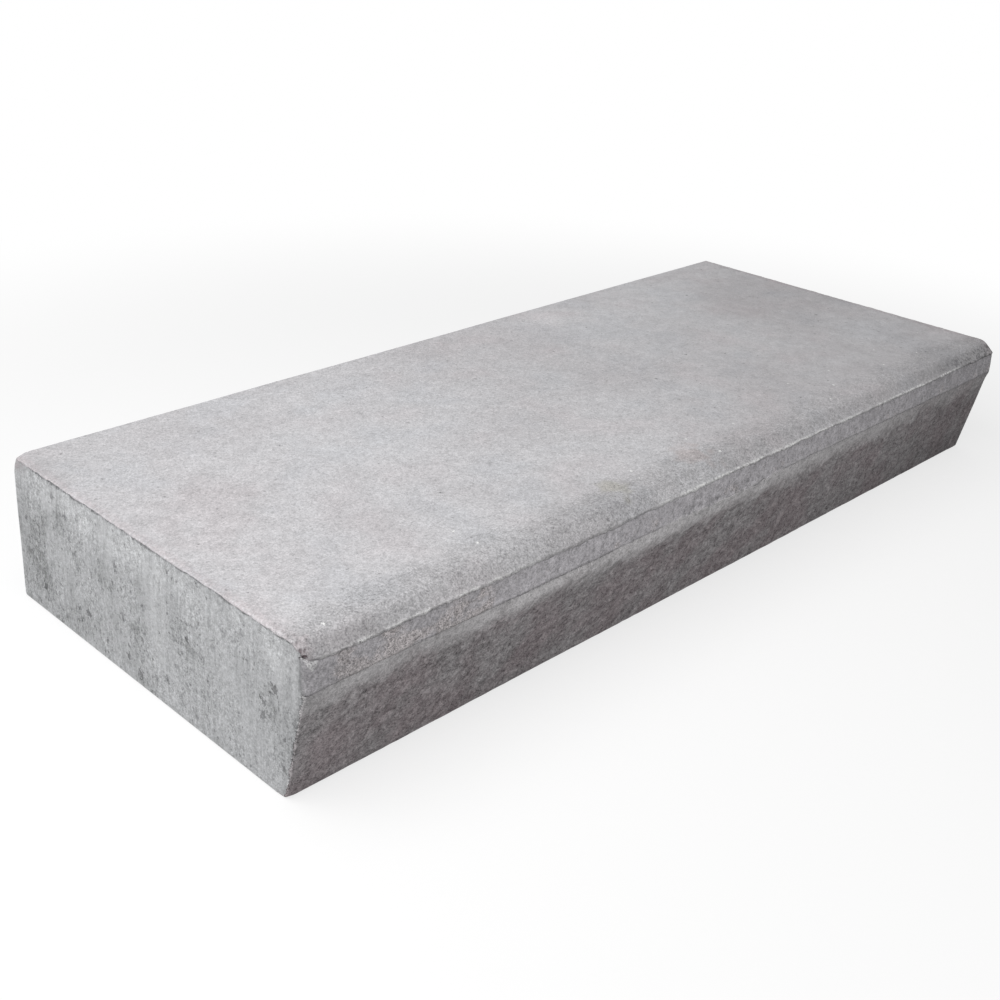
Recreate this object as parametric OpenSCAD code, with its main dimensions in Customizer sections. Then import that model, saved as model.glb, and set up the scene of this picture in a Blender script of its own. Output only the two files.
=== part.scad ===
// Precast concrete step block, cast as one solid.
// The block lies on its bed with the length along X, the nosing towards -Y and the tread up.
// Its shape is where three outlines meet: the section through the step, carried along the length,
// the elevation, which breaks the edges at the two ends, and the plan, which breaks the upright corners.

/* [Block] */
// Length of the step
block_length = 1000; // [600:10:1500]
// Depth from the nosing to the back face
block_depth = 420; // [300:5:600]
// Rise from the bed to the tread
block_height = 140; // [100:1:200]

/* [Nosing] */
// How far the chamfer reaches back over the tread
chamfer_back = 13; // [10:0.5:25]
// How far the chamfer drops below the tread
chamfer_drop = 12.5; // [10:0.5:20]
// Radius of the soft shoulder between the tread and the chamfer
shoulder_radius = 12; // [5:1:30]
// Height of the thin lip under the chamfer
lip_height = 2; // [1:0.5:4]
// How far the lip stands proud of the fascia
lip_overhang = 0.8; // [0.4:0.2:2]
// Radius of the lip's worn front edge
lip_radius = 0.8; // [0.2:0.1:0.9]
// Height of the upright fascia band under the lip
fascia_height = 24; // [10:0.5:35]

/* [Riser] */
// Shadow step at the fascia's lower edge
shadow_step = 1.4; // [0.5:0.1:4]
// How far the riser's foot is set back from the lip
rake_back = 25.5; // [8:0.5:50]

/* [Edges] */
// Radius of the tread's edges at the ends and the back
tread_arris = 2; // [1:0.5:6]
// Radius of the upright corners
corner_arris = 3; // [1:0.5:8]
// Radius of the edges round the bed
bed_arris = 1.5; // [0.5:0.5:4]

/* [Hidden] */
$fn = 96;

// How far a cutting shape runs past the surface that it cuts
overrun = 5;

// Heights of the nosing's edges above the bed
chamfer_foot = block_height - chamfer_drop;
lip_foot = chamfer_foot - lip_height;
fascia_foot = lip_foot - fascia_height;

// Places of the front's edges and the back face, from front to back
front = -block_depth / 2;
back = block_depth / 2;
fascia_face = front + lip_overhang;
riser_head = fascia_face + shadow_step;
riser_foot = front + rake_back;
end_face = block_length / 2;

// Section corners as [y, z, radius], from the shoulder down the front and round the bed to the back
section_corners = [
    [front + chamfer_back, block_height, shoulder_radius],
    [front, chamfer_foot, lip_radius],
    [front, lip_foot, 0],
    [fascia_face, lip_foot, 0],
    [fascia_face, fascia_foot, 0],
    [riser_head, fascia_foot, 0],
    [riser_foot, 0, bed_arris],
    [back, 0, bed_arris],
    [back, block_height, tread_arris],
];

// Elevation corners as [x, z, radius]
elevation_corners = [
    [-end_face, 0, bed_arris],
    [end_face, 0, bed_arris],
    [end_face, block_height, tread_arris],
    [-end_face, block_height, tread_arris],
];

// Plan corners as [x, y, radius]
plan_corners = [
    [-end_face, front, corner_arris],
    [end_face, front, corner_arris],
    [end_face, back, corner_arris],
    [-end_face, back, corner_arris],
];

// The corner's place, without its radius
function place(corner) = [corner.x, corner.y];

// The direction from one place to another, one unit long
function heading(from, to) = (to - from) / norm(to - from);

// The waste outside the arc that rounds one corner, between the corner before it and the one after it
module corner_waste(before, corner, after) {
    at = place(corner);
    radius = corner.z;
    to_before = heading(at, place(before));
    to_after = heading(at, place(after));
    half_angle = acos(to_before * to_after) / 2;
    inward = heading([0, 0], to_before + to_after);
    centre = at + inward * radius / sin(half_angle);
    reach = radius / tan(half_angle);
    difference() {
        polygon([at - inward * overrun, at + to_before * reach, centre, at + to_after * reach]);
        translate(centre) circle(r = radius);
    }
}

// A closed outline through the corners, each rounded by its own radius
module rounded_outline(corners) {
    count = len(corners);
    difference() {
        polygon([for (corner = corners) place(corner)]);
        for (i = [0 : count - 1])
            if (corners[i].z > 0)
                corner_waste(corners[(i + count - 1) % count], corners[i], corners[(i + 1) % count]);
    }
}

// The section through nosing, riser, bed and back, carried along the length
module section_bar() {
    rotate([90, 0, 90])
        linear_extrude(block_length + 2 * overrun, center = true)
            rounded_outline(section_corners);
}

// The front elevation, carried from front to back
module elevation_bar() {
    rotate([90, 0, 0])
        linear_extrude(block_depth + 2 * overrun, center = true)
            rounded_outline(elevation_corners);
}

// The plan, carried from below the bed to above the tread
module plan_bar() {
    translate([0, 0, -overrun])
        linear_extrude(block_height + 2 * overrun)
            rounded_outline(plan_corners);
}

// The whole block, one casting
module step_block() {
    color([0.68, 0.68, 0.68])
        intersection() {
            section_bar();
            elevation_bar();
            plan_bar();
        }
}

step_block();
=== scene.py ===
"""Dresses a precast concrete step block: one cast surface in place of its plain solid, on a pale floor.

The block's section is carried along its length and closed by two end faces. Pressed concrete's marks are
worked into that surface: the ragged lip of the nosing, the slumped strip under the ledge, the burr round
the tread's ends, drag marks and tears, nibbled arrises, a broken nosing corner, and worn corners at the
back and the foot. One procedural concrete finishes the whole of it. Places along the block are shares of
its length, from 0 at the left end to 1 at the right one.
"""

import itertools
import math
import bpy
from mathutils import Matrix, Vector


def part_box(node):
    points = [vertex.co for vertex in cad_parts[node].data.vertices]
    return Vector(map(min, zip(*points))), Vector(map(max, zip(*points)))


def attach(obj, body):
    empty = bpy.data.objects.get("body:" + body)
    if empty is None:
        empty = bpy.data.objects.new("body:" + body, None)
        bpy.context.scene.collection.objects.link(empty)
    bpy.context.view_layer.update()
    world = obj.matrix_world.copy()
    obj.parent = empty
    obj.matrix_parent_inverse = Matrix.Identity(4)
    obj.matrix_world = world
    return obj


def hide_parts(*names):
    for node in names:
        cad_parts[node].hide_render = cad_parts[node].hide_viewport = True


bl_info = {
    "name": "Concrete Step Block",
    "version": (1, 0, 0),
    "blender": (4, 5, 0),
    "location": "View3D > Sidebar > Step Block",
    "description": "Builds the cast surface of a concrete step block, its finish and a studio stage",
    "category": "Object",
}

from collections import namedtuple

import bpy
import numpy as np
from bpy.props import FloatProperty, FloatVectorProperty, PointerProperty
from mathutils import Vector
from mathutils.geometry import delaunay_2d_cdt

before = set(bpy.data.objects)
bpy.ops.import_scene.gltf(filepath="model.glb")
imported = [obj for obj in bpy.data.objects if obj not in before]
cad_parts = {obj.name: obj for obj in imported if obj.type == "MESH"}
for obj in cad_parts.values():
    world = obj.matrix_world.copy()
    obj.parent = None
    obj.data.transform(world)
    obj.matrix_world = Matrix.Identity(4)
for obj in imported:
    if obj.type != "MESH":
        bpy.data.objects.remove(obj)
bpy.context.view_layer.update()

MM = 0.001
NODE = "step_block"

# Cells of the surface's grid, in metres
TREAD_CELL = 2.8 * MM
NOSING_CELL = 2.0 * MM
LIP_CELL = 0.7 * MM
RISER_CELL = 2.0 * MM
BACK_CELL = 7.0 * MM
BED_CELL = 10.0 * MM
END_CELL = 3.2 * MM
# How much each cell of a run grows on the last, until it has the run's usual cell, and the most such steps
CELL_GROWTH = 1.5
GROWTH_STEPS = 40
# How far behind the nosing the front's fine columns give way to wider ones
FINE_DEPTH = 40 * MM
# Wide columns along the length, the fine columns in each, and how much closer they lie at the left end
WIDE_COLUMNS = 152
FINE_PER_WIDE = 3
COLUMN_CROWDING = 0.45
# Cells of the quarter turn from a long face into an end face, and the reach over which a face's way is read
TURN_CELLS = 4
FACING_REACH = 10 * MM
# The groove under the burr and the end face's rim, measured on from the turn
GROOVE = 0.6 * MM
GROOVE_FOOT = 2.0 * MM
# The ends come level with the burr this far below the tread, over this share of the drop, and this near
# the back
BURR_FADE = 40 * MM
BURR_FADE_SHARE = 0.75
BURR_BACK = 30 * MM
# How far inside its rim an end face's lattice keeps, and the distance at which its points would merge
RIM_CLEARANCE = 0.6 * END_CELL
MERGE_DISTANCE = 1e-9


def length(name, description, millimetres):
    """A length that a user can change, with its default in millimetres."""
    return FloatProperty(
        name=name, description=description, default=millimetres * MM, min=0, unit="LENGTH", precision=5
    )


def tone(name, description, red, green, blue):
    """A colour that a user can change."""
    return FloatVectorProperty(
        name=name, description=description, default=(red, green, blue), min=0, max=1, size=3,
        subtype="COLOR"
    )


class StepBlockSizes(bpy.types.PropertyGroup):
    """Sizes of the nosing and the riser, which are the part's own, and of the edges as wear left them."""

    chamfer_back: length("Chamfer reach", "How far the chamfer reaches back over the tread", 13)
    chamfer_drop: length("Chamfer drop", "How far the chamfer drops below the tread", 12.5)
    shoulder_radius: length("Shoulder radius", "Radius between the tread and the chamfer", 12)
    lip_height: length("Lip height", "Height of the thin lip under the chamfer", 2)
    lip_overhang: length("Lip overhang", "How far the lip stands proud of the fascia", 0.8)
    lip_radius: length("Lip radius", "Radius of the lip's front edge", 0.8)
    fascia_height: length("Fascia height", "Height of the upright band under the lip", 24)
    shadow_step: length("Shadow step", "How far the riser's head lies behind the fascia", 1.4)
    rake_back: length("Rake", "How far the riser's foot lies behind the lip", 25.5)
    back_arris: length("Back arris", "Radius of the tread's edge at the back", 1.5)
    tread_arris: length("Tread arris", "Radius of the tread's edges at the ends", 1.6)
    corner_arris: length("Left corner arris", "Radius of the fascia's upright edge at the left end", 4.5)
    far_arris: length("Right corner arris", "Radius of the fascia's upright edge at the right end", 0.6)
    back_corner: length("Back corner arris", "Radius of the upright corners at the back", 1.5)
    riser_arris: length("Riser arris", "Radius of the riser's edges at the ends", 0.8)
    bed_arris: length("Bed arris", "Radius of the edges round the bed", 1.5)
    burr_depth: length("Burr depth", "How far the ends lie behind the burr round the tread", 1.1)


class StepBlockWear(bpy.types.PropertyGroup):
    """Depths of the marks that pressing, demoulding and handling leave."""

    lip_wander: length("Lip wander", "How far the lip's line strays up and down", 1.5)
    lip_nibble: length("Lip nibble", "How far the lip's edge is eaten back", 1.1)
    ledge_wander: length("Ledge wander", "How far the line under the fascia strays", 0.6)
    burr_wander: length("Burr wander", "How far the burr's edge strays", 1.6)
    ledge_slump: length("Ledge slump", "How far the strip under the ledge bulges near its middle", 3)
    ledge_climb: length("Ledge climb", "How far the line under the fascia climbs to the right end", 2.5)
    riser_tear: length("Riser tears", "Depth of the drag marks on the riser", 0.8)
    side_drag: length("Side drag", "Depth of the drag marks on the ends and the back", 0.15)
    arris_chip: length("Arris chips", "Depth of the nibbles along the riser's left end", 2)
    worn_corner: length("Worn corner", "How far the tread's back left corner is worn away", 3.4)
    worn_foot: length("Worn foot", "How far the riser's left foot is worn away", 1.2)
    broken_corner: length("Broken corner", "Depth of the break in the nosing's left corner", 3)
    lip_rise: length("Lip rise", "How far the lip's line turns up at the broken corner", 6.4)


class StepBlockFinish(bpy.types.PropertyGroup):
    """Colours of the concrete's faces and marks."""

    tread_pale: tone("Tread", "The tread where it is palest", 0.59, 0.583, 0.598)
    tread_dull: tone("Tread clouds", "The tread's duller clouds", 0.525, 0.511, 0.524)
    side_pale: tone("Side bloom", "The ends and the back where they are palest", 0.54, 0.545, 0.555)
    side_grey: tone("Sides", "The ends and the back", 0.47, 0.475, 0.485)
    side_dark: tone("Side specks", "Clusters of dark specks on the ends and the back", 0.25, 0.255, 0.255)
    fascia_grey: tone("Fascia", "The band under the lip", 0.55, 0.532, 0.555)
    fascia_sand: tone("Fascia sand", "Sandy patches on the band under the lip", 0.57, 0.533, 0.537)
    riser_band: tone("Riser head", "The smooth strip under the fascia", 0.65, 0.632, 0.64)
    # The torn riser's two colours are dark partly as painted shade of its downward-facing face, partly by
    # its own concrete
    riser_dark: tone("Riser", "The torn face of the riser", 0.31, 0.289, 0.296)
    riser_pale: tone("Riser mottles", "Paler mottles on the riser", 0.41, 0.391, 0.398)
    # Bright grains and fresh chips, and also the colour of the painted highlights on the lip, the ledge and
    # the burr
    pale_grain_and_highlight: tone("Pale grains", "Bright grains of sand and fresh chips", 0.86, 0.86, 0.85)


class StepBlockStage(bpy.types.PropertyGroup):
    """The camera, the lamps and the floor."""

    camera_place: FloatVectorProperty(
        name="Camera place", description="Where the camera stands", default=(-0.998, -0.8701, 0.6626),
        subtype="TRANSLATION", unit="LENGTH"
    )
    camera_turn: FloatVectorProperty(
        name="Camera turn", description="How the camera is turned",
        default=(math.radians(67.925), math.radians(-2.342), math.radians(-44.833)),
        subtype="EULER", unit="ROTATION"
    )
    camera_lens: FloatProperty(
        name="Lens", description="Focal length in millimetres", default=50.133, min=1
    )
    camera_rise: FloatProperty(
        name="Lens shift", description="How far the lens is shifted up, as a share of the frame",
        default=-0.1
    )
    key_power: FloatProperty(
        name="Key lamp", description="Power of the large lamp above the block", default=11.5, min=0,
        unit="POWER"
    )
    fill_power: FloatProperty(
        name="Fill lamp", description="Power of the soft lamp at the left", default=31, min=0,
        unit="POWER"
    )
    ambient: FloatProperty(
        name="Ambient", description="Strength of the even light from all round", default=0.38, min=0
    )
    floor_tone: tone("Floor", "The floor as the block sees it", 0.4, 0.4, 0.4)


Measures = namedtuple("Measures", "low high lip_top lip_foot fascia_foot")
Corner = namedtuple("Corner", "y z radius arc_cells first_cell run_cell")
CORNER_NAMES = (
    "back_top", "shoulder", "lip_top", "lip_foot", "fascia_head", "fascia_foot", "riser_head",
    "riser_foot", "back_foot",
)


def measured(low, high, sizes):
    """The block's lowest and highest corners, with the heights of the lines along its front."""
    lip_top = high.z - sizes.chamfer_drop
    lip_foot = lip_top - sizes.lip_height
    return Measures(low, high, lip_top, lip_foot, lip_foot - sizes.fascia_height)


def eased(share):
    """Smoothstep: 0 up to 0, 1 from 1 on, and three squares less two cubes of the share between."""
    share = np.clip(share, 0.0, 1.0)
    return share * share * (3.0 - 2.0 * share)


def lattice_value(cells, seed):
    """A repeatable value from -1 to 1 for each place of a lattice, by mixing its bits with a seed."""
    mixed = np.full(len(cells), seed, dtype=np.uint32)
    for axis in range(3):
        mixed ^= cells[:, axis].astype(np.uint32)
        mixed *= np.uint32(2654435761)
        mixed ^= mixed >> np.uint32(15)
    mixed *= np.uint32(2246822519)
    mixed ^= mixed >> np.uint32(13)
    return mixed / 2.0**31 - 1.0


def noise(places, cell, seed):
    """Value noise from -1 to 1: the eight lattice values round a place, blended by its eased share."""
    scaled = places / np.asarray(cell)
    base = np.floor(scaled)
    share = eased(scaled - base)
    base = base.astype(np.int64)
    total = np.zeros(len(places))
    for corner in itertools.product((0, 1), repeat=3):
        weight = np.where(np.array(corner) == 1, share, 1.0 - share).prod(axis=1)
        total += weight * lattice_value(base + np.array(corner), seed)
    return total


def rough(places, layers):
    """A noise of several layers: the sum of each layer's own noise times its weight."""
    return sum(layer.weight * noise(places, layer.cell, layer.seed) for layer in layers)


def followed(along, stops):
    """A number that follows stops along the length, straight from each stop to the next."""
    return np.interp(along, *np.transpose(stops))


def bell(distance, reach):
    """A bell of height 1 that falls off with the square of the distance."""
    return np.exp(-((distance / reach) ** 2))


def heading(start, end):
    """The direction from one place to another, one unit long."""
    way = np.asarray(end, float) - np.asarray(start, float)
    return way / np.linalg.norm(way)


def run_marks(distance, first_cell, run_cell):
    """Shares along a run whose cells grow from the first one up to the usual one."""
    most = int(distance / min(first_cell, run_cell)) + 1
    steps = np.minimum(np.arange(most), GROWTH_STEPS)
    cells = np.minimum(first_cell * CELL_GROWTH**steps, run_cell)
    ends = np.cumsum(cells)
    count = max(1, int(np.searchsorted(ends, distance)))
    return ends[:count] / ends[count - 1]


def corner_arc(before, corner, after):
    """Points of the arc that rounds a corner, from its entry to its exit.

    The centre lies on the bisector, and the arc is the entry and the exit weighed by the sines of their
    shares of the swing. A corner with no radius is its own only point.
    """
    at = np.array([corner.y, corner.z])
    if corner.radius == 0:
        return at[None]
    to_before = heading(at, (before.y, before.z))
    to_after = heading(at, (after.y, after.z))
    half = math.acos(to_before @ to_after) / 2
    reach = corner.radius / math.tan(half)
    centre = at + heading((0, 0), to_before + to_after) * corner.radius / math.sin(half)
    swing = math.pi - 2 * half
    share = np.linspace(0, 1, corner.arc_cells + 1)[:, None]
    enter = at + to_before * reach - centre
    leave = at + to_after * reach - centre
    return centre + (np.sin((1 - share) * swing) * enter + np.sin(share * swing) * leave) / math.sin(swing)


def section_corners(measures, sizes):
    """Corners of the section, from the back of the tread over the nosing and round the bed."""
    low, high, lip_top, lip_foot, fascia_foot = measures
    fascia_face = low.y + sizes.lip_overhang
    riser_head = fascia_face + sizes.shadow_step
    riser_foot = low.y + sizes.rake_back
    return [
        Corner(high.y, high.z, sizes.back_arris, 5, TREAD_CELL, TREAD_CELL),
        Corner(low.y + sizes.chamfer_back, high.z, sizes.shoulder_radius, 11, NOSING_CELL, NOSING_CELL),
        Corner(low.y, lip_top, sizes.lip_radius, 3, LIP_CELL, LIP_CELL),
        Corner(low.y, lip_foot, 0, 0, LIP_CELL / 2, LIP_CELL),
        Corner(fascia_face, lip_foot, 0, 0, LIP_CELL, NOSING_CELL),
        Corner(fascia_face, fascia_foot, 0, 0, LIP_CELL, LIP_CELL),
        Corner(riser_head, fascia_foot, 0, 0, LIP_CELL, RISER_CELL),
        Corner(riser_foot, low.z, 2 * sizes.bed_arris, 3, BED_CELL, BED_CELL),
        Corner(high.y, low.z, 2 * sizes.bed_arris, 3, BACK_CELL, BACK_CELL),
    ]


class Section:
    """The block's section as a closed ring of points, with the lengths and marks along it."""

    def __init__(self, corners):
        count = len(corners)
        arcs = [corner_arc(corners[i - 1], corners[i], corners[(i + 1) % count]) for i in range(count)]
        points = []
        self.start = {}
        for i, name in enumerate(CORNER_NAMES):
            points.extend(arcs[i])
            self.start[name] = len(points) - 1
            leave, arrive = arcs[i][-1], arcs[(i + 1) % count][0]
            distance = np.linalg.norm(arrive - leave)
            marks = run_marks(distance, corners[i].first_cell, corners[i].run_cell)[:-1, None]
            points.extend(leave + marks * (arrive - leave))
        self.points = np.array(points)
        closed = np.vstack([self.points, self.points[:1]])
        ends = np.concatenate([[0], np.cumsum(np.linalg.norm(np.diff(closed, axis=0), axis=1))])
        self.along = ends[:-1]
        self.lap = ends[-1]

    def wrapped(self, values):
        """Values at the ring's points with a lap before and a lap after, for reading past the ends."""
        places = np.concatenate([self.along - self.lap, self.along, self.along + self.lap])
        return places, np.concatenate([values, values, values])

    def facing(self, reach):
        """Outward directions, square to the chord from a little before each point to a little after it."""
        chord = []
        for axis in range(2):
            places, values = self.wrapped(self.points[:, axis])
            ahead = np.interp(self.along + reach, places, values)
            behind = np.interp(self.along - reach, places, values)
            chord.append(ahead - behind)
        outward = np.column_stack([chord[1], -chord[0]])
        return outward / np.linalg.norm(outward, axis=1, keepdims=True)

    def averaged(self, values, reach):
        """The mean of values over the ring from a reach before each point to a reach after it."""
        places, values = self.wrapped(values)
        area = np.concatenate([[0], np.cumsum(np.diff(places) * (values[1:] + values[:-1]) / 2)])
        ahead = np.interp(self.along + reach, places, area)
        behind = np.interp(self.along - reach, places, area)
        return (ahead - behind) / (2 * reach)

    def past(self, name):
        """How far along the ring each point lies past the start of a corner's run."""
        return self.along - self.along[self.start[name]]


def face_shares(section):
    """How much each ring point belongs to the tread, the fascia and the riser, as three columns."""
    order = np.arange(len(section.points))
    start = section.start
    tread = (order <= start["lip_foot"]) * eased(order / start["back_top"])
    fascia = (order > start["lip_foot"]) & (order <= start["fascia_foot"])
    riser = (order > start["fascia_foot"]) & (order <= start["riser_foot"])
    return np.column_stack([tread, fascia, riser]).astype(float)


def arris_radii(section, shares, sizes, corner_radius):
    """Radius of the turn into an end at each ring point, averaged where one face gives way to the next."""
    order = np.arange(len(section.points))
    start = section.start
    radii = np.full(len(order), corner_radius)
    radii[order <= start["shoulder"]] = sizes.tread_arris
    radii[shares[:, 2] > 0] = sizes.riser_arris
    radii[order > start["riser_foot"]] = sizes.bed_arris
    radii[order > start["back_foot"]] = sizes.back_corner
    return section.averaged(radii, 2 * corner_radius)


def recess(depth, height, high, sizes):
    """How far an end face lies behind its burr: fully near the tread, less below it and at the back."""
    near_tread = eased((height - (high.z - BURR_FADE)) / (BURR_FADE * BURR_FADE_SHARE))
    return sizes.burr_depth * near_tread * eased((high.y - depth) / BURR_BACK)


def end_turn(section, shares, high, sizes, corner_radius):
    """Columns of the turn into an end: how far each lies in from the end and in from the long faces.

    The turn is a quarter circle of the arris's radius. Past it a groove lies under the burr, and the last
    column is the rim of the end face. Both measures are arrays of ring points by columns. Also returns the
    ring's inward directions.
    """
    radius = arris_radii(section, shares, sizes, corner_radius)[:, None]
    angle = np.linspace(0, math.pi / 2, TURN_CELLS + 1)
    inset = np.hstack([radius * (1 - np.cos(angle)), radius + GROOVE, radius + GROOVE_FOOT])
    inward = -section.facing(FACING_REACH)
    rim = section.points + inward * inset[:, -1:]
    behind = recess(rim[:, :1], rim[:, 1:], high, sizes)
    from_end = np.hstack([radius * (1 - np.sin(angle)), behind, behind])
    return from_end, inset, inward


def quads(index, rows, columns):
    """Four-sided faces between each given row and the next, and between neighbours of the columns."""
    after = (rows + 1) % len(index)
    left, right = columns[:-1], columns[1:]
    sides = [index[rows[:, None], left], index[after[:, None], left],
             index[after[:, None], right], index[rows[:, None], right]]
    return np.stack(sides, axis=-1).reshape(-1, 4)


def hexes(index, rows, columns, fine_after):
    """Six-sided faces that join a row of wide columns to a next row of finer ones, or the reverse."""
    after = (rows + 1) % len(index)
    wide, fine = (rows, after) if fine_after else (after, rows)
    first = index[wide[:, None], columns[:-1]]
    last = index[wide[:, None], columns[1:]]
    between = [index[fine[:, None], columns[:-1] + step] for step in range(FINE_PER_WIDE + 1)]
    sides = [first, *between, last]
    if not fine_after:
        sides.reverse()
    return np.stack(sides, axis=-1).reshape(-1, FINE_PER_WIDE + 3)


# What each place of the surface carries: shares of three faces, marks of the lines on it, and the way in
FACE_NAMES = ("tread", "fascia", "riser")
MARK_NAMES = ("shadow", "pale", "chip", "shade", "lip", "ledge", "burr", "bed")
WAY_NAMES = ("in_y", "in_z")
FIELD_NAMES = (*FACE_NAMES, *MARK_NAMES, *WAY_NAMES)
Fields = namedtuple("Fields", FIELD_NAMES)
BlockGrid = namedtuple("BlockGrid", "places fields faces left_rim right_rim")
# How wide the front's lines are: the painted shadows under the lip and the ledge, the pale crumbs and
# painted highlights along them, and the strips that stray with them
LIP_SHADOW = 2.8 * MM
LEDGE_SHADOW = 4.5 * MM
LIP_CRUMBS_AND_HIGHLIGHT = 1.6 * MM
LEDGE_CRUMBS_AND_HIGHLIGHT = 1.0 * MM
LIP_STRIP = 2.4 * MM
LEDGE_STRIP = 6.0 * MM
# How strong the ledge's painted shadow, and its crumbs with their painted highlight, are beside the lip's
LEDGE_SHADOW_SHARE = 0.65
LEDGE_CRUMBS_AND_HIGHLIGHT_SHARE = 0.6


def surface_fields(section, shares, inward, turn, columns):
    """Face shares, line marks and inward directions of every grid place, as one stack of named layers.

    The marks are the painted shadows under the lip, the ledge and the burr, the pale crumbs and painted
    highlights of the lip, the ledge and the burr, the riser's chipped arris, the painted soft shade round
    the fascia's ends, the strips of the lip, the ledge and the burr that stray, and the bed. A line's mark
    is a bell or an eased fade of the way along the ring, times a fade over the columns of the turn into the
    end.
    """
    order = np.arange(len(section.points))
    start = section.start
    under_lip, under_ledge = section.past("lip_foot"), section.past("fascia_foot")
    lip_shadow = eased(1 - under_lip / LIP_SHADOW) * (under_lip >= 0)
    ledge_shadow = LEDGE_SHADOW_SHARE * eased(1 - under_ledge / LEDGE_SHADOW) * (under_ledge >= 0)
    lip_crumbs_and_highlight = bell(section.past("lip_top"), LIP_CRUMBS_AND_HIGHLIGHT)
    ledge_crumbs_and_highlight = LEDGE_CRUMBS_AND_HIGHLIGHT_SHARE * bell(under_ledge + LEDGE_CRUMBS_AND_HIGHLIGHT, LEDGE_CRUMBS_AND_HIGHLIGHT)
    along = {
        **dict(zip(FACE_NAMES, shares.T)),
        "shadow": np.maximum(lip_shadow, ledge_shadow),
        "pale": np.maximum(lip_crumbs_and_highlight, ledge_crumbs_and_highlight),
        "lip": bell(under_lip, LIP_STRIP),
        "ledge": bell(section.past("riser_head"), LEDGE_STRIP),
        "bed": (order > start["riser_foot"] - 2) & (order <= start["back_foot"]),
        "in_y": inward[:, 0],
        "in_z": inward[:, 1],
    }
    layers = {name: np.zeros((len(order), columns)) for name in FIELD_NAMES}
    for name, values in along.items():
        layers[name] += np.asarray(values, float)[:, None]
    turned = np.linspace(0, 1, TURN_CELLS + 1)
    on_turn = np.concatenate([np.ones(TURN_CELLS + 1), [0, 0]])
    fades = dict.fromkeys(("riser", "shadow", "pale", "lip", "ledge"), on_turn)
    fades["tread"] = np.concatenate([1 - 0.25 * turned**2, [0.4, 0.05]])
    fades["fascia"] = np.concatenate([1 - 0.6 * turned**2, [0.15, 0]])
    chip = np.concatenate([turned, [0.7, 0.2]])
    # The roll is a painted highlight, with crumbs, on the burr's rounded edge; the groove is a painted
    # shadow under it
    roll = np.concatenate([0.5 * eased(turned * 2 - 1), [0, 0]])
    groove = np.concatenate([np.zeros(TURN_CELLS), [0.4, 1.2, 0.8]])
    stray = np.concatenate([eased(turned), [1, 0.4]])
    # Painted shade round the fascia's ends, strongest on the end just past the turn
    shaded = np.concatenate([0.2 + 0.8 * turned, [1, 0.9]])
    tread, fascia, riser = shares[:, :1], shares[:, 1:2], shares[:, 2:]
    for here, step in ((slice(0, turn), -1), (slice(columns - turn, columns), 1)):
        for name, fade in fades.items():
            layers[name][:, here] *= fade[::step]
        layers["shadow"][:, here] += tread * groove[::step]
        layers["shade"][:, here] = fascia * shaded[::step]
        layers["pale"][:, here] = np.maximum(layers["pale"][:, here], tread * roll[::step])
        layers["chip"][:, here] = riser * chip[::step]
        layers["burr"][:, here] = tread * stray[::step]
    return np.stack([layers[name] for name in FIELD_NAMES], axis=-1)


def long_faces(section, low, high, sizes):
    """The tread, front, bed and back as one grid: the ring along the length, turned in at the ends.

    Every row has the end columns. Between them a front row has all the fine columns, and any other row has
    every third one, with six-sided faces where the two meet. The columns lie closer together towards the
    left end: each one's share of the length is less by a part of a half sine wave.
    """
    shares = face_shares(section)
    from_left, left_inset, inward = end_turn(section, shares, high, sizes, sizes.corner_arris)
    from_right, right_inset, inward = end_turn(section, shares, high, sizes, sizes.far_arris)
    rows, turn = from_left.shape
    fine_columns = WIDE_COLUMNS * FINE_PER_WIDE
    way = np.linspace(0, 1, fine_columns + 1)[1:-1]
    way -= COLUMN_CROWDING * np.sin(math.pi * way) / math.pi
    left = low.x + from_left[:, :1]
    right = high.x - from_right[:, :1]
    x = np.hstack([low.x + from_left[:, ::-1], left + way * (right - left), high.x - from_right])
    depth = np.hstack([left_inset[:, ::-1], np.zeros((rows, fine_columns - 1)), right_inset])
    places = np.stack([x, section.points[:, :1] + inward[:, :1] * depth,
                       section.points[:, 1:] + inward[:, 1:] * depth], axis=-1)
    columns = x.shape[1]
    wide = turn - 1 + np.arange(0, fine_columns + 1, FINE_PER_WIDE)
    all_columns = np.arange(columns)
    left_columns = all_columns[:turn]
    right_columns = all_columns[-turn:]
    kept = np.isin(all_columns, np.concatenate([left_columns, wide, right_columns]))
    fine = section.points[:, 0] < low.y + FINE_DEPTH
    used = fine[:, None] | kept
    index = np.cumsum(used).reshape(used.shape) - 1
    next_fine = np.roll(fine, -1)
    row = np.arange(rows)
    gives_way = row[fine & ~next_fine]
    takes_over = row[~fine & next_fine]
    mixed = np.concatenate([gives_way, takes_over])
    groups = [
        quads(index, row[fine & next_fine], all_columns),
        quads(index, row[~fine & ~next_fine], all_columns[kept]),
        quads(index, mixed, left_columns),
        quads(index, mixed, right_columns),
        hexes(index, takes_over, wide, True),
        hexes(index, gives_way, wide, False),
    ]
    faces = [face for group in groups for face in group.tolist()]
    fields = surface_fields(section, shares, inward, turn, columns)
    return BlockGrid(places[used], fields[used], faces, index[:, 0], index[:, -1])


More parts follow.
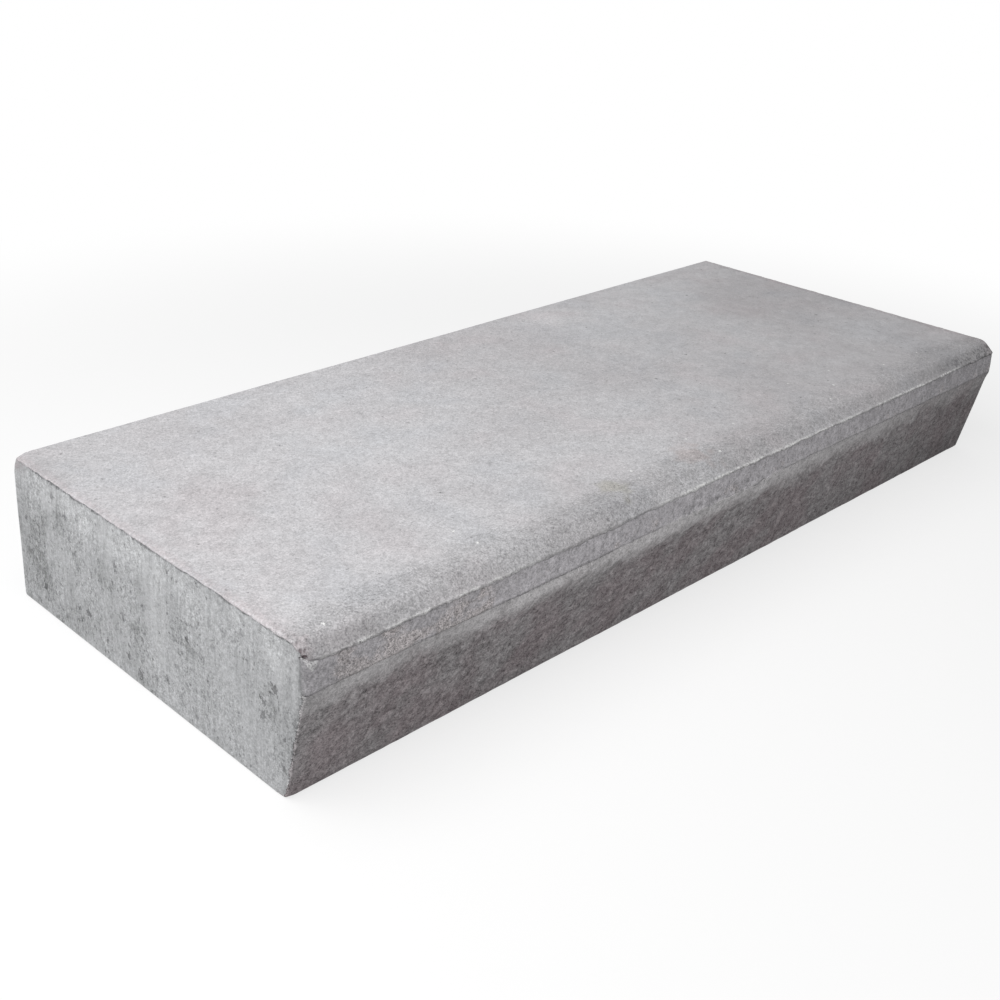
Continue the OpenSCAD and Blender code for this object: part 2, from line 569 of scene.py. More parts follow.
def end_face(rim):
    """Places and triangles that fill an end face's rim, as y, z points and corner numbers.

    A lattice of equilateral triangles fills the rim. Its points that are inside and clear of the rim are
    kept and joined to the rim by Delaunay triangles. The rim's points come first, in their own order.
    """
    low_corner, high_corner = rim.min(axis=0), rim.max(axis=0)
    across = np.arange(low_corner[0], high_corner[0], END_CELL)
    upward = np.arange(low_corner[1], high_corner[1], END_CELL * math.sqrt(3) / 2)
    grid_y, grid_z = np.meshgrid(across, upward)
    grid_y[1::2] += END_CELL / 2
    lattice = np.column_stack([grid_y.ravel(), grid_z.ravel()])
    ahead = np.roll(rim, -1, axis=0)
    side = ahead - rim
    to_point = lattice[:, None] - rim
    share = np.clip((to_point * side).sum(axis=2) / (side * side).sum(axis=1), 0, 1)
    clear = np.linalg.norm(to_point - share[..., None] * side, axis=2).min(axis=1) > RIM_CLEARANCE
    spans = (rim[:, 1] > lattice[:, 1:]) != (ahead[:, 1] > lattice[:, 1:])
    rise = np.where(side[:, 1] == 0, 1, side[:, 1])
    crossing = rim[:, 0] + (lattice[:, 1:] - rim[:, 1]) / rise * side[:, 0]
    inside = (spans & (lattice[:, :1] < crossing)).sum(axis=1) % 2 == 1
    points = np.vstack([rim, lattice[clear & inside]])
    number = np.arange(len(rim))
    edges = np.column_stack([number, np.roll(number, -1)])
    found = delaunay_2d_cdt(points.tolist(), edges.tolist(), [], 1, MERGE_DISTANCE)
    if len(found[0]) != len(points):
        raise RuntimeError("the end face's triangles lost or gained points")
    old_numbers = np.array([old[0] for old in found[3]])
    triangles = old_numbers[np.array(found[2])]
    a, b, c = (points[triangles[:, k]] for k in range(3))
    area = (b[:, 0] - a[:, 0]) * (c[:, 1] - a[:, 1]) - (b[:, 1] - a[:, 1]) * (c[:, 0] - a[:, 0])
    triangles[area < 0] = triangles[area < 0][:, ::-1]
    return points, triangles


def cast_surface(measures, sizes):
    """The whole closed surface: the long faces and the two ends, with the fields of each place."""
    low, high = measures.low, measures.high
    section = Section(section_corners(measures, sizes))
    grid = long_faces(section, low, high, sizes)
    places, fields = [grid.places], [grid.fields]
    faces = list(grid.faces)
    count = len(grid.places)
    for rim_index, side in ((grid.left_rim, -1), (grid.right_rim, 1)):
        points, triangles = end_face(grid.places[rim_index][:, 1:])
        inner = points[len(rim_index):]
        end_x = (low.x if side < 0 else high.x) - side * recess(inner[:, 0], inner[:, 1], high, sizes)
        places.append(np.column_stack([end_x, inner]))
        fields.append(np.zeros((len(inner), len(FIELD_NAMES))))
        numbers = np.concatenate([rim_index, count + np.arange(len(inner))])
        count += len(inner)
        ends = numbers[triangles]
        faces.extend((ends if side > 0 else ends[:, ::-1]).tolist())
    return np.vstack(places), np.vstack(fields), faces


# The noises that roughen the faces and make the lines stray, as sums of layers: weight, cell and seed
Layer = namedtuple("Layer", "weight cell seed")
WAVES = (Layer(0.2 * MM, 110 * MM, 11),)
TREAD_UNEVENNESS = (Layer(0.1 * MM, 9 * MM, 12),)
FASCIA_UNEVENNESS = (Layer(0.25 * MM, 3.5 * MM, 13),)
RISER_TEARS = (Layer(1, (8 * MM, 6 * MM, 5 * MM), 14),)
SIDE_DRAGS = (Layer(1, (6 * MM, 6 * MM, 30 * MM), 15),)
NIBBLES_ALONG = (Layer(0.9, 2.4 * MM, 16),)
NIBBLES_BACK = (Layer(0.9, 2.4 * MM, 17),)
LEDGE_SMEARS = (Layer(1.1 * MM, (14 * MM, 6 * MM, 5 * MM), 18),)
LIP_BACK = (Layer(0.6, 4 * MM, 21), Layer(0.4, 17 * MM, 22))
LIP_UP = (Layer(0.6, 4.4 * MM, 23), Layer(0.4, 24 * MM, 24))
LEDGE_UP = (Layer(0.5, 9 * MM, 25), Layer(0.5, 31 * MM, 26))
BURR_IN = (Layer(0.6, 5 * MM, 27), Layer(0.4, 14 * MM, 28))
LEDGE_FILLS = (Layer(1, 20 * MM, 29),)
BURR_BREAKS = (Layer(0.9, 9 * MM, 30),)

# Stops along the length. How strongly the painted shadows under the lip and under the ledge show
LIP_SHADE = ((0.16, 1), (0.22, 0.4), (0.41, 0.4), (0.45, 0.9), (0.9, 0.9), (0.94, 0.15))
LEDGE_SHADE = (
    (0.006, 0), (0.016, 1.7), (0.14, 1.7), (0.18, 2.8), (0.32, 2.8), (0.35, 0.8), (0.4, 0.5), (0.43, 0),
    (0.5, 0), (0.52, 0.35), (0.57, 0.4), (0.6, 0.8), (0.75, 1), (0.85, 1), (0.95, 1.4),
)
# How far the lip strays upwards in millimetres, and the share of its climb that the ledge has made
LIP_STRAY = ((0.08, 0), (0.15, 0.8), (0.2, -1), (0.35, -1.2), (0.44, 0), (0.55, 0.9))
LEDGE_CLIMB = ((0, 0), (0.13, 0.36), (0.33, 0.4), (0.6, 1))
# How far the strip under the ledge has slumped outwards, from 0 to 1
SLUMP = ((0.16, 0), (0.23, 1), (0.54, 1), (0.66, 0))

# The riser's tears: how far below the ledge they start, and how far they fade in there, above the foot,
# and from the left and the right end
TEARS_BELOW = 6 * MM
TEARS_FADE = 16 * MM
TEARS_FOOT = 14 * MM
TEARS_LEFT = 60 * MM
TEARS_RIGHT = 20 * MM
# Where the ledge is smeared over, in shares of the length, and how far the smears reach up and down
SMEAR_MIDDLE = 0.52
SMEAR_REACH = 0.1
SMEAR_HEIGHT = 9 * MM
# The slumped strip's drop below the ledge and its reach, and how far below the ledge its climb is felt
SLUMP_DROP = 11 * MM
SLUMP_REACH = 9 * MM
CLIMB_DROP = 40 * MM
# Share of the step that a filled ledge takes up, and how far in from the right end it is filled
FILLED_SHARE = 0.95
FILLED_END = 30 * MM
# Share of its overhang that the lip gives up where its shadow is weak
FLAT_LIP_SHARE = 0.6
# Reach of the wear on the back left corner, of the tread's colour over it, and of the wear on the foot
WORN_CORNER_REACH = 8 * MM
RUBBED_REACH = 16 * MM
WORN_FOOT_REACH = 5 * MM
# How far behind the nosing the shadow under the burr has its full strength
BURR_SHADOW_FADE = 35 * MM

# The broken nosing corner: how far back it reaches, and the bells by which the lip's line turns up
BREAK_DEPTH = 14 * MM
BREAK_FADE = 8 * MM
RISE_NARROW = 5 * MM
RISE_WIDE = 20 * MM
RISE_HEIGHT = 9 * MM
# Its flake: middle, half width and height, the soft edge at its head and how far it stands out
FLAKE_MIDDLE = 6 * MM
FLAKE_HALF_WIDTH = 9 * MM
FLAKE_HEIGHT = 8.5 * MM
FLAKE_HEAD = 1.5 * MM
FLAKE_DEPTH = 0.6 * MM
# Its pits: how far left of the corner and above the lip each lies, as seen straight on to the corner, how
# far it reaches, and how dark its painted shade is, which also scales how deep it is pushed in
Pit = namedtuple("Pit", "leftward above reach darkness")
PITS = (
    Pit(1.1 * MM, 4.3 * MM, 2.6 * MM, 1),
    Pit(4.3 * MM, 7.4 * MM, 2 * MM, 0.8),
    Pit(1.5 * MM, 7.6 * MM, 1.3 * MM, 0.45),
    Pit(7.4 * MM, 11 * MM, 1.5 * MM, 0.4),
)
PITTED_DEPTH = 22 * MM


def pitted(places, measures):
    """How deep each place lies in the broken corner's pits, from 0 to 1: the most of a bell round each."""
    low = measures.low
    leftward = (low.x - low.y - places[:, 0] + places[:, 1]) / math.sqrt(2)
    above = places[:, 2] - measures.lip_top
    bells = [
        pit.darkness * bell(np.hypot(leftward - pit.leftward, above - pit.above), pit.reach) for pit in PITS
    ]
    return np.max(bells, axis=0) * (places[:, 1] < low.y + PITTED_DEPTH)


def nosing_break(places, measures):
    """How far the lip's line turns up at the broken left corner, and the flake below it, each from 0 to 1.

    The line turns up by a narrow bell on a wide one. The flake is a triangle that stands on its tip.
    """
    from_end = places[:, 0] - measures.low.x
    below = measures.lip_foot - places[:, 2]
    on_front = eased((measures.low.y + BREAK_DEPTH - places[:, 1]) / BREAK_FADE)
    turned_up = 0.7 * bell(from_end, RISE_NARROW) + 0.3 * bell(from_end, RISE_WIDE)
    rise = turned_up * bell(below, RISE_HEIGHT) * on_front
    spread = 1 - np.abs(from_end - FLAKE_MIDDLE) / FLAKE_HALF_WIDTH - below / FLAKE_HEIGHT
    return rise, eased(spread * 2.5) * eased(below / FLAKE_HEAD) * on_front


def smeared(along):
    """How far the ledge is smeared over, as a bell along the length."""
    return bell(along - SMEAR_MIDDLE, SMEAR_REACH)


def face_relief(places, outward, fields, along, measures, wear):
    """How far the faces are moved, as offsets.

    Along the outward direction: broad waves, an unevenness of the tread and of the fascia, tears on the
    riser, upright drag marks on the ends and the back, and smears round the ledge's middle, each a noise of
    its own. The strip under the ledge slumps forward by a bell of the height. The riser's left arris is
    nibbled along the length and the depth by noises of their own, so that it is jagged from either side.
    """
    height = places[:, 2]
    side = 1 - fields.tread - fields.fascia - fields.riser
    below_strip = eased((measures.fascia_foot - TEARS_BELOW - height) / TEARS_FADE)
    above_foot = eased((height - measures.low.z) / TEARS_FOOT)
    off_left = 0.3 + 0.7 * eased((places[:, 0] - measures.low.x) / TEARS_LEFT)
    off_right = eased((measures.high.x - places[:, 0]) / TEARS_RIGHT)
    torn = fields.riser * below_strip * (0.2 + 0.8 * above_foot) * off_left * off_right
    near_ledge = bell(height - measures.fascia_foot, SMEAR_HEIGHT) * (1 - side)
    out = rough(places, WAVES)
    out += fields.tread * rough(places, TREAD_UNEVENNESS)
    out += fields.fascia * rough(places, FASCIA_UNEVENNESS)
    out += wear.riser_tear * torn * rough(places, RISER_TEARS)
    out += wear.side_drag * side * rough(places, SIDE_DRAGS)
    out += smeared(along) * near_ledge * rough(places, LEDGE_SMEARS)
    offset = outward * (out * (1 - fields.bed))[:, None]
    slumped = followed(along, SLUMP) * bell(measures.fascia_foot - SLUMP_DROP - height, SLUMP_REACH)
    offset[:, 1] -= wear.ledge_slump * slumped * fields.riser
    nibble = wear.arris_chip * fields.chip * (along < 0.5)
    offset[:, 0] += nibble * eased(0.4 + rough(places, NIBBLES_ALONG))
    offset[:, 1] += nibble * eased(0.4 + rough(places, NIBBLES_BACK))
    return offset


def line_relief(places, fields, along, measures, sizes, wear):
    """How far the lip, the ledge and the burr are moved, as offsets.

    All three stray by noises, the lip and the ledge by noises of the way along them. The lip also follows
    stops of its own, and lies flatter where its shadow is weak. The ledge climbs to the right. The step
    under it is filled where its shadow is weak, in places where it is smeared over, and at the right end.
    """
    way = places * (1, 0, 0)
    smear = smeared(along)
    offset = np.zeros_like(places)
    felt = (measures.fascia_foot - CLIMB_DROP, measures.fascia_foot, measures.lip_foot)
    climbing = followed(along, LEDGE_CLIMB) * np.interp(places[:, 2], felt, (0, 1, 0))
    offset[:, 2] += wear.ledge_climb * climbing * (places[:, 1] < measures.low.y + FINE_DEPTH)
    offset[:, 1] += wear.lip_nibble * fields.lip * rough(way, LIP_BACK)
    flattened = (1 - followed(along, LIP_SHADE)) * fields.lip * (fields.tread > 0.5)
    offset[:, 1] += FLAT_LIP_SHARE * sizes.lip_overhang * flattened
    strayed = followed(along, LIP_STRAY) * MM
    offset[:, 2] += fields.lip * (wear.lip_wander * rough(way, LIP_UP) + strayed)
    offset[:, 2] += wear.ledge_wander * (1 + 5 * smear) * fields.ledge * rough(way, LEDGE_UP)
    at_end = eased(1 - (measures.high.x - places[:, 0]) / FILLED_END)
    patched = smear * eased(0.5 + rough(way, LEDGE_FILLS))
    filled = np.maximum.reduce([1 - followed(along, LEDGE_SHADE), patched, at_end])
    filled = np.clip(filled, 0, 1) * fields.riser * fields.ledge
    offset[:, 1] -= FILLED_SHARE * sizes.shadow_step * filled
    burr_in = wear.burr_wander * fields.burr * rough(places, BURR_IN)
    offset[:, 1] += burr_in * fields.in_y
    offset[:, 2] += burr_in * fields.in_z
    return offset


def corner_relief(places, fields, measures, sizes, wear):
    """How far the worn corners and the broken one are moved, as offsets.

    Bells wear away the tread's back left corner and the riser's left foot. At the nosing's left corner the
    lip's line turns up over a flake. Also returns the flake, and the tread's reach over the worn corner.
    """
    low, high = measures.low, measures.high
    from_back = places - np.array([low.x, high.y, high.z])
    worn = wear.worn_corner * bell(np.linalg.norm(from_back, axis=1), WORN_CORNER_REACH)
    offset = np.outer(worn, heading((0, 0, 0), (1, -1, -1)))
    rubbed = eased(1.5 - np.linalg.norm(from_back * (1, 0.6, 1), axis=1) / RUBBED_REACH)
    from_foot = places - np.array([low.x, low.y + sizes.rake_back, low.z])
    worn = wear.worn_foot * bell(np.linalg.norm(from_foot, axis=1), WORN_FOOT_REACH)
    offset += np.outer(worn, heading((0, 0, 0), (1, 1, 1)))
    rise, flake = nosing_break(places, measures)
    flake *= fields.fascia
    offset[:, 2] += wear.lip_rise * rise
    offset[:, 1] += 0.5 * wear.lip_rise * rise * fields.lip
    offset[:, 1] -= FLAKE_DEPTH * flake
    return offset, flake, rubbed


def painted_shadow_darkness(places, fields, along, measures, flake, rubbed):
    """How dark the lines under the lip, the ledge and the burr are at each place.

    These darknesses are painted shadows. The lip's and the ledge's follow their stops along the length, and
    are faint on the flake. The burr's is broken by a noise and fades towards the nosing. None of them is on
    the worn corner.
    """
    front = np.where(fields.riser > 0, followed(along, LEDGE_SHADE), followed(along, LIP_SHADE))
    burr = 0.55 + 0.5 * eased(0.5 + rough(places, BURR_BREAKS))
    burr *= 0.3 + 0.7 * eased((places[:, 1] - measures.low.y) / BURR_SHADOW_FADE)
    shown = np.where(fields.riser + fields.fascia > 0, front * (1 - 0.8 * flake), burr)
    return fields.shadow * shown * (1 - rubbed)


def relief(places, outward, fields, measures, sizes, wear):
    """Moves the surface's places as pressing and wear have moved the real one's.

    The offsets of the faces, the lines and the corners are summed. Then the broken corner's pits are pushed
    in, and what is below the bed is raised to it. Also returns the flake at the break, the tread's reach
    over the worn corner and the darkness of the painted shadows under the lines.
    """
    along = (places[:, 0] - measures.low.x) / (measures.high.x - measures.low.x)
    offset, flake, rubbed = corner_relief(places, fields, measures, sizes, wear)
    offset += face_relief(places, outward, fields, along, measures, wear)
    offset += line_relief(places, fields, along, measures, sizes, wear)
    moved = places + offset
    pushed = wear.broken_corner * pitted(moved, measures)
    moved += np.outer(pushed, heading((0, 0, 0), (0.7, 0.7, -0.1)))
    moved[:, 2] = np.maximum(moved[:, 2], measures.low.z)
    return moved, flake, rubbed, painted_shadow_darkness(places, fields, along, measures, flake, rubbed)


def colour_attribute(mesh, name, *layers):
    """Stores four layers of numbers, one of each for every point, as a colour for a material to read."""
    stored = mesh.attributes.new(name, "FLOAT_COLOR", "POINT")
    stored.data.foreach_set("color", np.column_stack(layers).ravel().astype(np.float32))


class NodeBench:
    """Puts nodes into one node tree and wires them: an input that is a socket is linked, others are set."""

    def __init__(self, tree):
        self.tree = tree
        tree.nodes.clear()

    def put(self, kind, inputs, **settings):
        node = self.tree.nodes.new(kind)
        for name, value in settings.items():
            setattr(node, name, value)
        for name, value in inputs.items():
            if isinstance(value, bpy.types.NodeSocket):
                self.tree.links.new(value, node.inputs[name])
            else:
                node.inputs[name].default_value = value
        return node

    def math(self, operation, *values):
        return self.put("ShaderNodeMath", dict(enumerate(values)), operation=operation).outputs[0]

    def total(self, first, *others):
        """The sum of several values."""
        for value in others:
            first = self.math("ADD", first, value)
        return first

    def product(self, first, *others):
        """The product of several values."""
        for value in others:
            first = self.math("MULTIPLY", first, value)
        return first

    def swayed(self, base, value, gain, middle=0.5):
        """The base plus a gain times the value's swing about its middle."""
        return self.math("MULTIPLY_ADD", self.math("SUBTRACT", value, middle), gain, base)

    def share(self, value, start, end):
        """How far the value has gone from its start to its end, from 0 to 1."""
        return self.put("ShaderNodeMapRange", {0: value, 1: start, 2: end}).outputs[0]

    def ranged(self, value, low, high, to_low=0.0, to_high=1.0):
        """The value's eased place between low and high, carried over to another range."""
        node = self.put("ShaderNodeMapRange", {0: value, 1: low, 2: high, 3: to_low, 4: to_high},
                        interpolation_type="SMOOTHSTEP")
        return node.outputs[0]

    def along_stops(self, share, stops):
        """A number that follows stops, which are shares of a way and the number at each."""
        ramp = self.put("ShaderNodeValToRGB", {0: share})
        elements = ramp.color_ramp.elements
        elements.remove(elements[1])
        for number, (place, grey) in enumerate(stops):
            element = elements[0] if number == 0 else elements.new(place)
            element.position = place
            element.color = (grey, grey, grey, 1)
        return ramp.outputs["Color"]

    def stretched(self, vector, scale, turn=0.0):
        inputs = {"Vector": vector, "Scale": scale, "Rotation": (0, 0, turn)}
        return self.put("ShaderNodeMapping", inputs).outputs[0]

    def turned(self, vector, turn):
        return self.stretched(vector, (1, 1, 1), turn)

    def distance(self, vector, point):
        node = self.put("ShaderNodeVectorMath", {0: vector, 1: point}, operation="DISTANCE")
        return node.outputs["Value"]

    def noise(self, vector, scale, detail, roughness):
        inputs = {"Vector": vector, "Scale": scale, "Detail": detail, "Roughness": roughness}
        return self.put("ShaderNodeTexNoise", inputs).outputs[0]

    def dots(self, vector, scale, radius, rarity, fray=900.0):
        """Dots, one to a cell at most: 1 at a dot's middle and 0 outside it.

        A cell whose random number is under the rarity has no dot. The others' dots grow with that number up
        to the radius, and a noise of the fray's scale makes their edges ragged.
        """
        inputs = {"Vector": vector, "Scale": scale}
        cells = self.put("ShaderNodeTexVoronoi", inputs, voronoi_dimensions="2D")
        chance = self.put("ShaderNodeSeparateColor", {0: cells.outputs["Color"]}).outputs[0]
        size = self.ranged(chance, rarity, 1.0, 0.0, radius * scale)
        frayed = self.ranged(self.noise(vector, fray, 1.0, 0.5), 0.3, 0.7, 0.5, 1.7)
        inside = self.math("SUBTRACT", size, self.product(cells.outputs["Distance"], frayed))
        return self.ranged(inside, 0.0, radius * scale * 0.4)

    def sand(self, vector, scale):
        """Grains of sand: one random number from 0 to 1 for each cell of a scattered lattice."""
        cells = self.put("ShaderNodeTexVoronoi", {"Vector": vector, "Scale": scale})
        return self.put("ShaderNodeSeparateColor", {0: cells.outputs["Color"]}).outputs[0]

    def mixed(self, share, first, second, blend="MIX"):
        inputs = {0: share, 6: first, 7: second}
        return self.put("ShaderNodeMix", inputs, data_type="RGBA", blend_type=blend).outputs[2]

    def tinted(self, colour, share, tint):
        """The colour times a tint, as far as the share says."""
        return self.mixed(share, colour, tint, "MULTIPLY")

    def dimmed(self, colour, share, factor):
        """The colour times a grey factor, as far as the share says."""
        return self.tinted(colour, share, (factor, factor, factor, 1))

    def toned(self, colour, share, stops):
        """The colour times a grey that follows stops."""
        return self.tinted(colour, 1.0, self.along_stops(share, stops))

    def grained(self, colour, *grains):
        """The colour times one plus each grain's swing about its middle value of a half."""
        factor = 1.0
        for value, gain in grains:
            factor = self.swayed(factor, value, gain)
        return self.tinted(colour, 1.0, factor)


def opaque(colour):
    """A colour property as red, green, blue and alpha."""
    return (*colour, 1.0)


# Where a point of the concrete lies: its coordinates, its share of the length, and its place on an upright
# face, which is its way round the block and its height
Spot = namedtuple("Spot", "place x y z along upright")
# The concrete's grains, and what the surface's marks say at a point
Grains = namedtuple("Grains", "fine sandy middle wide crisp")
Marks = namedtuple("Marks", "shadow pale chip shade flake")

# Tints that a colour is multiplied by
WARM_TINT = (1.0, 0.98, 0.98, 1)
COOL_TINT = (0.98, 0.992, 1.0, 1)
EDGE_TINT = (0.965, 0.93, 0.93, 1)
RISER_TINT = (0.92, 0.86, 0.87, 1)
# Painted shade, with a reddish tint, that darkens the broken corner's pits
PIT_SHADE_TINT = (0.26, 0.21, 0.22, 1)
# Stains on the tread: each one's share of the length, how far behind the nosing it lies, its reach and tint
Stain = namedtuple("Stain", "along behind reach tint")
STAINS = (
    Stain(0.47, 32 * MM, 26 * MM, (1.0, 0.94, 0.92, 1)),
    Stain(0.36, 28 * MM, 22 * MM, (1.0, 0.99, 0.92, 1)),
    Stain(0.648, 386 * MM, 30 * MM, (1.12, 1.12, 1.12, 1)),
    Stain(0.005, 5 * MM, 11 * MM, (1.0, 0.94, 0.945, 1)),
)
# How light the tread's back and the front's faces are along the length, and the ends from front to back
BACK_TONES = ((0, 0.88), (0.13, 1), (0.4, 1.03), (0.6, 1.1), (0.95, 1.06))
CHAMFER_TONES = (
    (0, 0.85), (0.05, 0.82), (0.13, 1.04), (0.25, 1.1), (0.55, 1.12), (0.7, 1.02), (0.93, 0.88),
)
# The fascia's tones are partly painted light, lifting it away from the left end against the lamps'
# fall-off, and partly its own tone
FASCIA_TONES = ((0, 0.87), (0.03, 0.85), (0.07, 1), (0.13, 1), (0.25, 1.15), (0.7, 1.08), (0.93, 0.88))
STRIP_TONES = ((0, 0.75), (0.05, 0.95), (0.15, 0.98), (0.24, 1.1), (0.55, 1.1), (0.7, 1))
END_TONES = ((0, 0.74), (0.1, 0.97), (0.45, 0.98), (0.6, 1), (0.88, 1), (1, 0.93))
# How open the fascia's sandy patches are along the length, as what is added to their noise
SAND_SHARES = (
    (0.02, 0.05), (0.03, 0.2), (0.11, 0.2), (0.12, 0.02), (0.13, 0.25), (0.17, 0.22), (0.2, 0), (0.24, 0),
    (0.25, 0.14), (0.27, 0),
)


def tread_colour(bench, spot, grains, measures, finish):
    """Pale grey with broad clouds, warm and cool drifts, stains, sandy grain, white grains and small pits.

    The strip behind the nosing is duller, and the two ends' edges have a pinkish tint. The back and the
    chamfer have tones of their own along the length, and the chamfer's right end is mottled. The grain is
    stronger near the nosing and fainter towards the right end.
    """
    low, high = measures.low, measures.high
    clouds = bench.ranged(bench.noise(spot.place, 4.5, 3.0, 0.55), 0.36, 0.66)
    colour = bench.mixed(clouds, opaque(finish.tread_pale), opaque(finish.tread_dull))
    drift = bench.noise(spot.place, 13.0, 3.0, 0.5)
    colour = bench.tinted(colour, bench.ranged(drift, 0.5, 0.68), WARM_TINT)
    colour = bench.tinted(colour, bench.ranged(drift, 0.5, 0.34), COOL_TINT)
    for stain in STAINS:
        middle = (low.x + stain.along * (high.x - low.x), low.y + stain.behind, high.z)
        uneven = bench.swayed(bench.distance(spot.place, middle), grains.wide, 2 * stain.reach)
        colour = bench.tinted(colour, bench.ranged(uneven, stain.reach, 0.3 * stain.reach), stain.tint)
    edge = bench.ranged(bench.math("ABSOLUTE", spot.x), high.x - 12 * MM, high.x - 2 * MM)
    edge = bench.product(edge, bench.ranged(grains.middle, 0.38, 0.6, 0.4, 1.2))
    colour = bench.tinted(colour, edge, EDGE_TINT)

    wavering = bench.swayed(spot.y, drift, 50 * MM)
    nosing = bench.ranged(wavering, low.y + 55 * MM, low.y + 22 * MM)
    dull_middle = bench.ranged(spot.along, 0.5, 0.75, 1.0, 0.25)
    dull_right = bench.ranged(spot.along, 0.75, 0.95, 0.0, 0.85)
    colour = bench.dimmed(colour, bench.product(nosing, bench.total(dull_middle, dull_right)), 0.8)
    back_strip = bench.ranged(spot.y, high.y - 150 * MM, high.y - 30 * MM)
    colour = bench.mixed(back_strip, colour, bench.toned(colour, spot.along, BACK_TONES))
    chamfer = bench.ranged(spot.z, high.z - 1.5 * MM, high.z - 6 * MM)
    colour = bench.mixed(chamfer, colour, bench.toned(colour, spot.along, CHAMFER_TONES))
    mottled = bench.product(
        chamfer, bench.ranged(spot.along, 0.86, 0.94), bench.ranged(grains.middle, 0.5, 0.6))
    colour = bench.dimmed(colour, mottled, 0.62)

    fine_gain = bench.math("MULTIPLY_ADD", nosing, 0.22, bench.ranged(spot.along, 0.35, 0.9, 0.28, 0.14))
    sandy_gain = bench.math("MULTIPLY_ADD", nosing, 0.28, bench.ranged(spot.along, 0.35, 0.9, 0.62, 0.38))
    colour = bench.grained(colour, (grains.fine, fine_gain), (grains.sandy, sandy_gain), (grains.wide, 0.3))
    near_nosing = bench.ranged(wavering, low.y + 100 * MM, low.y + 60 * MM, 0.25, 1.0)
    white_grains = bench.product(bench.dots(spot.place, 30.0, 1.7 * MM, 0.5), near_nosing)
    colour = bench.mixed(white_grains, colour, opaque(finish.pale_grain_and_highlight))
    colour = bench.dimmed(colour, bench.dots(bench.turned(spot.place, 0.7), 21.0, 1.7 * MM, 0.6), 0.5)
    return bench.dimmed(colour, bench.dots(bench.turned(spot.place, 0.3), 64.0, 1.4 * MM, 0.3), 0.72)


def side_colour(bench, spot, grains, measures, finish):
    """Cool grey drawn upright: pale bloom, fine streaks, and duller areas with specks, blots and pits.

    Bloom gathers near the tread, most of all towards the back, and dark specks keep clear of it there. The
    strip beside the back is duller and has more specks. The tone goes from dark to pale behind the front.
    """
    low, high = measures.low, measures.high
    dark = opaque(finish.side_dark)
    drawn = bench.stretched(spot.upright, (1, 0.6, 1))
    beside_back = bench.ranged(spot.y, high.y - 120 * MM, high.y - 10 * MM, 0.0, 0.09)
    near_tread = bench.ranged(spot.z, high.z - 55 * MM, high.z - 8 * MM)
    raised = bench.product(near_tread, bench.ranged(spot.y, low.y + 110 * MM, high.y - 90 * MM, 0.07, 0.2))
    cleared = bench.product(near_tread, -0.14)
    areas = bench.total(bench.noise(drawn, 19.0, 4.0, 0.6), beside_back, cleared)
    bloom = bench.total(bench.noise(bench.stretched(spot.upright, (1, 0.45, 1)), 9.0, 4.0, 0.6), raised)
    bloom = bench.ranged(bloom, 0.54, 0.68)
    colour = bench.mixed(bloom, opaque(finish.side_grey), opaque(finish.side_pale))
    colour = bench.dimmed(colour, bench.ranged(areas, 0.47, 0.64), 0.92)
    spread = bench.total(bench.product(areas, 0.55), bench.product(bloom, -0.07))
    blotches = bench.total(bench.noise(drawn, 75.0, 5.0, 0.8), spread)
    colour = bench.mixed(bench.ranged(blotches, 0.825, 0.955, 0.0, 0.6), colour, dark)
    specks = bench.total(bench.noise(drawn, 260.0, 3.0, 0.8), spread)
    colour = bench.mixed(bench.ranged(specks, 0.845, 0.94, 0.0, 0.9), colour, dark)
    clustered = bench.ranged(areas, 0.44, 0.54, 0.35, 0.95)
    blots = bench.dots(bench.stretched(spot.upright, (1, 0.8, 1), 0.2), 52.0, 4.4 * MM, 0.3, 400.0)
    colour = bench.dimmed(colour, bench.product(blots, clustered), 0.47)
    colour = bench.toned(colour, bench.share(spot.y, low.y, high.y), END_TONES)
    streaks = bench.noise(bench.stretched(spot.upright, (1, 0.06, 1)), 280.0, 2.0, 0.6)
    patchy = bench.ranged(bench.noise(drawn, 26.0, 2.0, 0.5), 0.35, 0.65, 0.6, 1.2)
    fine_gain = bench.product(patchy, 0.4)
    middle_gain = bench.product(patchy, 0.88)
    colour = bench.grained(
        colour, (streaks, 0.55), (grains.fine, fine_gain), (grains.middle, middle_gain), (grains.wide, 0.2))
    colour = bench.dimmed(colour, bench.dots(spot.upright, 75.0, 1.8 * MM, 0.5), 0.55)
    return bench.dimmed(colour, bench.dots(bench.turned(spot.upright, 0.5), 23.0, 2.4 * MM, 0.6), 0.5)


def fascia_colour(bench, spot, grains, measures, finish):
    """Bluish grey, rubbed smooth, with sandy patches low down near the left, where the face is open."""
    patches = bench.noise(bench.stretched(spot.upright, (0.7, 1, 1)), 58.0, 4.0, 0.6)
    opened = bench.along_stops(spot.along, SAND_SHARES)
    foot, head = measures.fascia_foot + 5 * MM, measures.lip_foot - 4 * MM
    lower = bench.ranged(spot.z, foot, head, 0.05, -0.06)
    sand = bench.ranged(bench.total(patches, opened, lower), 0.6, 0.76)
    sandy = bench.grained(opaque(finish.fascia_sand), (grains.fine, 1.0), (grains.middle, 0.85))
    smudges = bench.noise(bench.stretched(spot.upright, (1, 0.4, 1)), 130.0, 3.0, 0.6)
    smooth = bench.grained(
        opaque(finish.fascia_grey), (grains.fine, 0.5), (grains.middle, 0.85), (grains.wide, 0.3),
        (smudges, 0.7))
    # Toned along the length, partly as painted light that makes up for the lamps' fall-off
    return bench.toned(bench.mixed(sand, smooth, sandy), spot.along, FASCIA_TONES)


